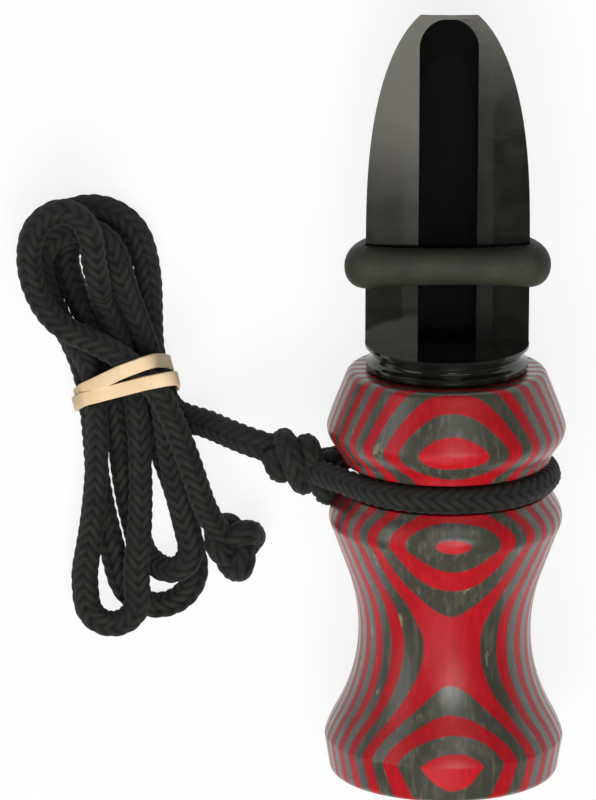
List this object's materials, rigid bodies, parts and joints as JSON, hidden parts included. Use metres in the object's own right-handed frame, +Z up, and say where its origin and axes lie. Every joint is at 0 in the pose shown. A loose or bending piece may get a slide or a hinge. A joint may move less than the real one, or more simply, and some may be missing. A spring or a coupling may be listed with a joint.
{
  "type": "elk call",
  "caption": "Open-reed elk call: turned laminated-wood barrel, black toneboard with a clear reed held by a rubber band, and a braided lanyard folded in a hank.",
  "frame": {"origin": "middle of the lying call, without its lanyard, on the surface it lies on", "axes": "+Z up, out of the toneboard's flat face; +Y along the call towards the toneboard's tip; -X towards the lanyard's hank"},
  "size_m": [0.0639, 0.0904, 0.0279],
  "materials": {
    "laminated_wood": "gloss lacquer over red and charcoal plies",
    "black_plastic": "satin, turned and milled",
    "clear_film": "clear film",
    "dark_rubber": "dull moulded rubber",
    "seal_rubber": "black rubber",
    "black_braid": "hollow braid",
    "tan_rubber": "plain latex"
  },
  "bodies": {
    "barrel": {"barrel": "laminated_wood"},
    "seals": {"shank_seal_upper": "seal_rubber", "shank_seal_lower": "seal_rubber"},
    "insert": {"toneboard": "black_plastic"},
    "reed": {"reed": "clear_film"},
    "reed_band": {"reed_band": "dark_rubber"},
    "lanyard": {"lanyard_loop": "black_braid", "slip_knot": "black_braid", "lanyard_run": "black_braid", "lanyard_hank": "black_braid", "lanyard_tail": "black_braid", "end_knot": "black_braid", "hank_band": "tan_rubber"}
  },
  "joints": [
    {"name": "insert_pull", "type": "slide", "parent": "barrel", "child": "seals", "axis": [0, 1, 0], "range_m": [0, 0.02]},
    {"name": "insert_turn", "type": "hinge", "parent": "seals", "child": "insert", "pos_m": [0, 0, 0.01395], "axis": [0, 1, 0], "continuous": true},
    {"name": "band_slide", "type": "slide", "parent": "insert", "child": "reed_band", "axis": [0, 1, 0], "range_m": [-0.006, 0.006]},
    {"name": "reed_flex", "type": "hinge", "parent": "insert", "child": "reed", "pos_m": [0, 0.01553, 0.01315], "axis": [-1, 0, 0], "range_deg": [0, 1.1], "stiffness_Nm_per_rad": 0.01},
    {"name": "lanyard_swivel", "type": "hinge", "parent": "barrel", "child": "lanyard", "pos_m": [0, -0.00915, 0.01395], "axis": [0, 1, 0], "continuous": true}
  ]
}
